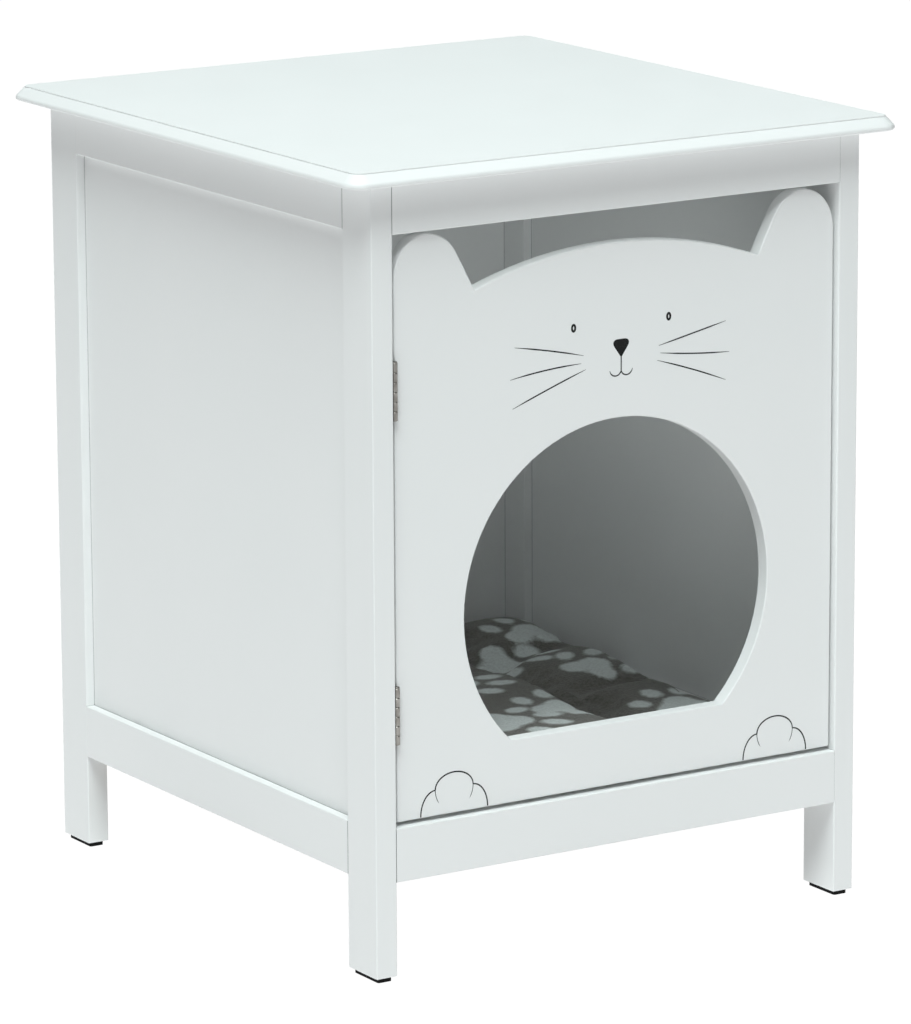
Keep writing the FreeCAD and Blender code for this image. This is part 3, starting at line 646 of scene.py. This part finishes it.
def pad_height(x, y):
    """Height of the pad's upper face above its base: three puffs, the right one rising to the rear."""
    far_x, far_y = (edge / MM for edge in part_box("cushion")[1][:2])
    x, y = x / MM, y / MM
    fall = PUFF_FALL_SHARE * np.minimum(1, np.abs(x) / CREASE) ** PUFF_POWER
    middle = np.interp(y, PUFF_PLACES, MIDDLE_CROWNS) * (1 - fall)
    right = np.interp(y, PUFF_PLACES, RIGHT_CROWNS) * np.interp(x, RIGHT_ACROSS, RIGHT_SHARES)
    dimple = DIMPLE_DEPTH * bell(y - DIMPLE_MIDDLE[1], DIMPLE_REACH[1])
    right -= dimple * bell(x - DIMPLE_MIDDLE[0], DIMPLE_REACH[0])
    left = np.interp(y, PUFF_PLACES, LEFT_CROWNS) * np.interp(-x, RIGHT_ACROSS, RIGHT_SHARES)
    aside = np.clip((np.abs(x) - (CREASE - CREASE_RUN)) / CREASE_RUN, 0, 1)
    aside = aside * aside * (3 - 2 * aside)
    height = middle * (1 - aside) + np.where(x > 0, right, left) * aside - SEAM_DROP
    side = np.clip((far_x - np.abs(x)) / SIDE_ROUND, 0, 1)
    end = np.clip((far_y - np.abs(y)) / END_ROUND, 0, 1)
    height *= SIDE_SHARE + (1 - SIDE_SHARE) * np.sqrt(1 - (1 - side) ** 2)
    height *= END_SHARE + (1 - END_SHARE) * np.sqrt(1 - (1 - end) ** 2)
    tall, across, along = CROSSED_WAVE
    wave = tall * np.sin(x * across + WAVE_START[0]) * np.sin(y * along + WAVE_START[1])
    tall, across, along = SLANTED_WAVE
    wave += tall * np.sin(x * across - y * along)
    return (height + wave * side * end) * MM


def pad_form():
    """The pad before it is filled: a grid as large as the cushion, drawn up to the puffs, tucked in below."""
    low, high = (Vector(corner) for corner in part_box("cushion"))
    form = bmesh.new()
    bmesh.ops.create_grid(form, x_segments=PAD_GRID[0], y_segments=PAD_GRID[1], size=0.5)
    bmesh.ops.scale(form, vec=(high.x - low.x, high.y - low.y, 1), verts=form.verts[:])
    under = form.verts[:]
    grown = bmesh.ops.extrude_face_region(form, geom=form.faces[:], use_keep_orig=True)
    upper = [part for part in grown["geom"] if isinstance(part, bmesh.types.BMVert)]
    heights = pad_height(*np.array([vert.co.xy for vert in upper]).T)
    for vert, height in zip(upper, heights):
        vert.co.z = height
    bmesh.ops.scale(form, vec=(TUCK_SHARE, TUCK_SHARE, 1), verts=under)
    bmesh.ops.translate(form, vec=(0, 0, low.z), verts=form.verts[:])
    bmesh.ops.recalc_face_normals(form, faces=form.faces[:])
    return form


def fill_out(piece, sizes):
    """Blows the pad up as cloth, its creases and base held, and caps how far it moved."""
    rest = points(piece.data)
    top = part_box("cushion")[0][2] + HELD_BASE * MM
    base = np.clip((top - rest[:, 2]) / (HELD_RUN * MM), 0, 1)
    crease = bell(np.abs(rest[:, 0]) - CREASE * MM, HELD_CREASE * MM)
    weights = np.clip(base + crease, 0, 1)
    held = piece.vertex_groups.new(name="held")
    for index, weight in enumerate(weights):
        if weight > LEAST_WEIGHT:
            held.add([index], float(weight), "REPLACE")
    cloth = piece.modifiers.new("Cloth", "CLOTH")
    settings = cloth.settings
    settings.quality = 6
    settings.mass = 0.25
    settings.tension_stiffness = 12
    settings.compression_stiffness = 12
    settings.shear_stiffness = 6
    settings.bending_stiffness = 0.4
    settings.use_pressure = True
    settings.uniform_pressure_force = sizes.pressure
    settings.shrink_min = -sizes.slack
    settings.vertex_group_mass = held.name
    settings.pin_stiffness = 1.0
    settings.effector_weights.gravity = 0
    cloth.collision_settings.use_collision = False
    cloth.point_cache.frame_start = 1
    cloth.point_cache.frame_end = FILL_FRAMES
    scene = bpy.context.scene
    for step in range(1, FILL_FRAMES + 1):
        scene.frame_set(step)
    applied(piece)
    scene.frame_set(1)
    moved = points(piece.data) - rest
    far = np.linalg.norm(moved, axis=1)
    capped = np.minimum(1, sizes.cap / np.maximum(far, 1e-9))
    move_points(piece.data, rest + moved * capped[:, None])
    piece.vertex_groups.clear()


def smooth_least(parts, blend):
    """The least of several distances, rounded where they meet."""
    least = parts[0]
    for part in parts[1:]:
        near = np.clip(0.5 + 0.5 * (part - least) / blend, 0, 1)
        least = part + (least - part) * near - blend * near * (1 - near)
    return least


def mark_prints(mesh, sizes):
    """Stores each point's distance to the nearest paw print, below 0 inside one."""
    x, y, z = points(mesh).T
    normals = np.empty(len(mesh.vertices) * 3, dtype=np.float32)
    mesh.vertices.foreach_get("normal", normals)
    across, along, up = normals.reshape(-1, 3).T
    drop = np.clip(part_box("cushion")[0][2] + FOLD_HEIGHT * MM - z, 0, None)
    x = x + np.sign(across) * drop * (np.abs(across) > SIDE_FACING)
    y = y + np.sign(along) * drop * (np.abs(along) > SIDE_FACING)
    gap = np.full(len(x), 1.0)
    for middle_x, middle_y, turn, size in FLEECE_PRINTS:
        unit = sizes.print_half * size
        way = radians(turn)
        dx, dy = (x - middle_x * MM) / unit, (y - middle_y * MM) / unit
        up_share = dx * cos(way) + dy * sin(way)
        side_share = dx * sin(way) - dy * cos(way)
        lobes = [np.hypot(side_share - px, up_share - py) - radius for px, py, radius in PAD_LOBES]
        gap = np.minimum(gap, smooth_least(lobes, LOBE_BLEND) * unit)
        for px, py, half_x, half_y, tilt in TOES:
            lean = radians(tilt)
            u, v = side_share - px, up_share - py
            p = (u * cos(lean) + v * sin(lean)) / half_x
            q = (v * cos(lean) - u * sin(lean)) / half_y
            gap = np.minimum(gap, (np.hypot(p, q) - 1) * min(half_x, half_y) * unit)
    gap[up < UNDER_FACING] = 1.0
    mesh.attributes.new("print_gap", "FLOAT", "POINT").data.foreach_set("value", gap.astype(np.float32))


class CATHOUSE_OT_lacquer_woodwork(Operator):
    """Lacquer the legs, rails, panels, tabletop and door"""

    bl_idname = "cathouse.lacquer_woodwork"
    bl_label = "Lacquer the woodwork"

    def execute(self, context):
        finishes = context.scene.cathouse_finishes
        boards = lacquer("satin_lacquer_on_fibreboard", finishes)
        for node in FIBREBOARD:
            dress(node, boards)
        solid_wood = {axis: lacquer(f"satin_lacquer_on_pine_{axis}", finishes, axis) for axis in "XYZ"}
        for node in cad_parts:
            for start, axis in GRAIN.items():
                if node.startswith(start):
                    dress(node, solid_wood[axis])
        return {"FINISHED"}


class CATHOUSE_OT_finish_fittings(Operator):
    """Finish the hinges, catch, brackets, screws, cams, cleats, dowels and felt pads"""

    bl_idname = "cathouse.finish_fittings"
    bl_label = "Finish the fittings"

    def execute(self, context):
        finishes = context.scene.cathouse_finishes
        nickel = plated("satin_nickel_plate", finishes.nickel, finishes.nickel_dull, low=0.26, high=0.42)
        zinc = plated("die_cast_zinc", finishes.zinc, finishes.nickel_dull, low=0.4, high=0.55)
        looks = {
            "hinge_": nickel,
            "top_bracket_": nickel,
            "catch_": nickel,
            "strike_": nickel,
            "bracket_": nickel,
            "cleat_": nickel,
            "cam_": zinc,
            "foot_pad_": pressed_felt("pressed_felt", finishes),
            "floor_cleat_": planed_pine("planed_pine", finishes),
            "catch_body": moulded("moulded_nylon", finishes.plastic, low=0.42, high=0.55, size=0.6),
            "catch_magnet": moulded("sintered_ferrite", finishes.ferrite, low=0.5, high=0.65, size=0.4),
        }
        looks["rail_dowels"] = looks["floor_cleat_"]
        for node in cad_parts:
            for start, look in looks.items():
                if node.startswith(start):
                    dress(node, look)
        return {"FINISHED"}


class CATHOUSE_OT_print_face(Operator):
    """Print the eyes, nose, mouth and whiskers on the door"""

    bl_idname = "cathouse.print_face"
    bl_label = "Print the face"

    def execute(self, context):
        sizes = context.scene.cathouse_print
        form = bmesh.new()
        lines = [(line, sizes.whisker, WHISKER_ENDS) for line in WHISKERS]
        lines += [(line, sizes.mouth, MOUTH_ENDS) for line in MOUTH]
        lines.append((STEM, sizes.mouth, STEM_ENDS))
        for line, width, ends in lines:
            ends_and_middle = (tuple(part * MM for part in point) for point in line)
            centre, radius, start, sweep = circle_through(*ends_and_middle)
            take(form, printed_line(centre, (radius, radius), start, sweep, width, sizes.steps, ends))
        for x, z in EYES:
            eye = bmesh.new()
            upright = Matrix.Rotation(pi / 2, 4, "X")
            bmesh.ops.create_circle(eye, cap_ends=True, segments=32, radius=1.0, matrix=upright)
            half = (sizes.eye_width / 2, 1, sizes.eye_height / 2)
            bmesh.ops.scale(eye, vec=half, verts=eye.verts[:])
            pupil = eye.faces[:]
            bmesh.ops.inset_region(
                eye, faces=pupil, thickness=sizes.eye_ring, use_boundary=True, use_even_offset=True
            )
            bmesh.ops.delete(eye, geom=pupil, context="FACES")
            bmesh.ops.translate(eye, vec=(x * MM, 0, z * MM), verts=eye.verts[:])
            take(form, eye)
        nose = bmesh.new()
        corners = [bmesh.ops.create_vert(nose, co=(x * MM, 0, z * MM))["vert"][0] for x, z in NOSE]
        bmesh.ops.contextual_create(nose, geom=corners)
        slope = atan2(NOSE[0][1] - NOSE[2][1], NOSE[2][0] - NOSE[0][0])
        reach = sizes.nose_round / np.tan(slope / 2)
        bmesh.ops.bevel(
            nose, geom=corners[:2], offset=reach, offset_type="OFFSET", affect="VERTICES", segments=10,
            profile=0.5, material=-1
        )
        take(form, nose)
        printed_film(form, sizes)
        piece = placed("printed_face", form, [printed_ink("printed_ink", context.scene.cathouse_finishes)])
        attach(piece, "door")
        return {"FINISHED"}


class CATHOUSE_OT_print_paws(Operator):
    """Print the two front paws along the door's lower edge"""

    bl_idname = "cathouse.print_paws"
    bl_label = "Print the paws"

    def execute(self, context):
        sizes = context.scene.cathouse_print
        form = bmesh.new()
        for middle in PAW_MIDDLES:
            for (x, z), (across, up), start, sweep in PAW_LINES:
                tail = abs(sweep) < TAIL_SWEEP
                width = sizes.paw * (TAIL_WIDTH_SHARE if tail else 1)
                take(form, printed_line(
                    ((middle + x) * MM, z * MM), (across * MM, up * MM), radians(start), radians(sweep),
                    width, sizes.steps, TAIL_ENDS if tail else PAW_ENDS
                ))
        printed_film(form, sizes)
        piece = placed("printed_paws", form, [bpy.data.materials["printed_ink"]])
        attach(piece, "door")
        return {"FINISHED"}


class CATHOUSE_OT_make_pad(Operator):
    """Make the fleece pad on the den's floor"""

    bl_idname = "cathouse.make_pad"
    bl_label = "Make the pad"

    def execute(self, context):
        sizes = context.scene.cathouse_pad
        low, high = (np.array(corner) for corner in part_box("cushion"))
        piece = placed("fleece_pad", pad_form(), [])
        remesh = piece.modifiers.new("Remesh", "REMESH")
        remesh.mode = "VOXEL"
        remesh.voxel_size = sizes.voxel
        applied(piece)
        places = points(piece.data)
        middle = (low + high) / 2
        half = (high - low) / 2
        shares = 1 - sizes.inset / half
        shares[2] = 1
        move_points(piece.data, middle + (places - middle) * shares)
        fill_out(piece, sizes)
        finer = piece.modifiers.new("Subdivision", "SUBSURF")
        finer.levels = finer.render_levels = 1
        applied(piece)
        least = low + np.array(ROOM_BELOW) * MM
        most = high + np.array(ROOM_ABOVE) * MM
        move_points(piece.data, np.clip(points(piece.data), least, most))
        piece.data.shade_smooth()
        mark_prints(piece.data, sizes)
        piece.data.materials.clear()
        piece.data.materials.append(printed_fleece("printed_fleece", context.scene.cathouse_finishes))
        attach(piece, "cabinet")
        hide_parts("cushion")
        return {"FINISHED"}


class CATHOUSE_OT_set_stage(Operator):
    """Set the floor, the soft light and the camera"""

    bl_idname = "cathouse.set_stage"
    bl_label = "Set the stage"

    def execute(self, context):
        scene = context.scene
        stage = scene.cathouse_stage
        floors = (
            ("floor", FLOOR_HEIGHT, stage.floor_reach, stage.backdrop, stage.floor,
             stage.floor_glow, 1.0, SCATTER_SHARE),
            ("bounce_floor", BOUNCE_HEIGHT, stage.bounce_reach, 0.0, stage.floor_light,
             stage.floor_bounce, stage.shade, 0.0),
        )
        for name, height, reach, wall, tint, glow, shade, bounce in floors:
            form = bmesh.new()
            bmesh.ops.create_circle(form, cap_ends=True, segments=FLOOR_SEGMENTS, radius=reach)
            if wall:
                grown = bmesh.ops.extrude_edge_only(form, edges=form.edges[:])
                raised = [part for part in grown["geom"] if isinstance(part, bmesh.types.BMVert)]
                bmesh.ops.translate(form, vec=(0, 0, wall), verts=raised)
            bmesh.ops.translate(form, vec=(0, 0, height * MM), verts=form.verts[:])
            material, tree = blank(f"paper_{name}")
            strength = glow
            if shade < 1:
                # Under the object the floor lies in shade
                place = add(tree, "ShaderNodeTexCoord").outputs["Object"]
                away = add(tree, "ShaderNodeVectorMath", {0: place}, operation="LENGTH").outputs["Value"]
                strength = add(tree, "ShaderNodeMapRange", {
                    0: away, 1: stage.shade_core, 2: stage.shade_reach, 3: glow * shade, 4: glow
                }).outputs[0]
            lit = add(tree, "ShaderNodeEmission", {"Color": solid(tint), "Strength": strength})
            paper = add(tree, "ShaderNodeBsdfDiffuse", {"Color": (bounce, bounce, bounce, 1.0)})
            both = add(tree, "ShaderNodeAddShader", {0: lit.outputs[0], 1: paper.outputs[0]})
            add(tree, "ShaderNodeOutputMaterial", {"Surface": both.outputs[0]})
            piece = placed(name, form, [material])
            seen = name == "floor"
            piece.visible_camera = seen
            piece.visible_diffuse = not seen
            piece.visible_glossy = not seen
            piece.visible_shadow = not seen

        world = bpy.data.worlds.new("soft_studio")
        world.use_nodes = True
        world.node_tree.nodes.clear()
        sky = add(world.node_tree, "ShaderNodeBackground", {0: solid(stage.sky), 1: stage.sky_strength})
        add(world.node_tree, "ShaderNodeOutputWorld", {"Surface": sky.outputs[0]})
        scene.world = world

        powers = (stage.key, stage.overhead, stage.den, stage.pad)
        for (name, (size, place, aim)), watts in zip(LAMPS.items(), powers):
            light = bpy.data.lights.new(name, "AREA")
            light.shape = "DISK"
            light.size = size
            light.energy = watts
            light.color = stage.key_light
            light.spread = radians(FILL_SPREAD if name.endswith("_fill") else SOFTBOX_SPREAD)
            lamp = bpy.data.objects.new(name, light)
            way = Vector(aim) - Vector(place)
            turn = way.to_track_quat("-Z", "Y").to_matrix().to_4x4()
            lamp.matrix_world = Matrix.Translation(place) @ turn
            lamp.visible_camera = False
            scene.collection.objects.link(lamp)

        lens = bpy.data.cameras.new("camera")
        lens.lens = stage.lens
        lens.sensor_fit = "VERTICAL"
        lens.sensor_height = stage.sensor
        lens.clip_end = VIEW_END
        camera = bpy.data.objects.new("camera", lens)
        turn = Matrix.Rotation(-stage.yaw, 4, "Z") @ Matrix.Rotation(pi / 2 - stage.pitch, 4, "X")
        turn = turn @ Matrix.Rotation(stage.roll, 4, "Z")
        camera.matrix_world = Matrix.Translation(stage.camera_place) @ turn
        scene.collection.objects.link(camera)
        scene.camera = camera
        scene.view_settings.view_transform = "Standard"
        scene.cycles.diffuse_bounces = DIFFUSE_BOUNCES
        return {"FINISHED"}


class CATHOUSE_PT_looks(Panel):
    """Finishes, pieces and stage of the cat house"""

    bl_idname = "CATHOUSE_PT_looks"
    bl_label = "Cat house"
    bl_space_type = "VIEW_3D"
    bl_region_type = "UI"
    bl_category = "Cat house"

    def draw(self, context):
        layout = self.layout
        for name in SETTINGS:
            group = getattr(context.scene, name)
            box = layout.box()
            for prop in group.bl_rna.properties:
                if prop.identifier not in {"rna_type", "name"}:
                    box.prop(group, prop.identifier)
        for operator in OPERATORS:
            layout.operator(operator.bl_idname)


SETTINGS = {
    "cathouse_finishes": CathouseFinishes,
    "cathouse_print": CathousePrint,
    "cathouse_pad": CathousePad,
    "cathouse_stage": CathouseStage,
}
OPERATORS = (
    CATHOUSE_OT_lacquer_woodwork,
    CATHOUSE_OT_finish_fittings,
    CATHOUSE_OT_print_face,
    CATHOUSE_OT_print_paws,
    CATHOUSE_OT_make_pad,
    CATHOUSE_OT_set_stage,
)


def register():
    for group in (*SETTINGS.values(), *OPERATORS, CATHOUSE_PT_looks):
        bpy.utils.register_class(group)
    for name, group in SETTINGS.items():
        setattr(bpy.types.Scene, name, PointerProperty(type=group))


def unregister():
    for name in SETTINGS:
        delattr(bpy.types.Scene, name)
    for group in (CATHOUSE_PT_looks, *reversed(OPERATORS), *reversed(SETTINGS.values())):
        bpy.utils.unregister_class(group)


def main():
    register()
    bpy.ops.cathouse.lacquer_woodwork()
    bpy.ops.cathouse.finish_fittings()
    bpy.ops.cathouse.print_face()
    bpy.ops.cathouse.print_paws()
    bpy.ops.cathouse.make_pad()
    bpy.ops.cathouse.set_stage()


if __name__ == "__main__":
    main()
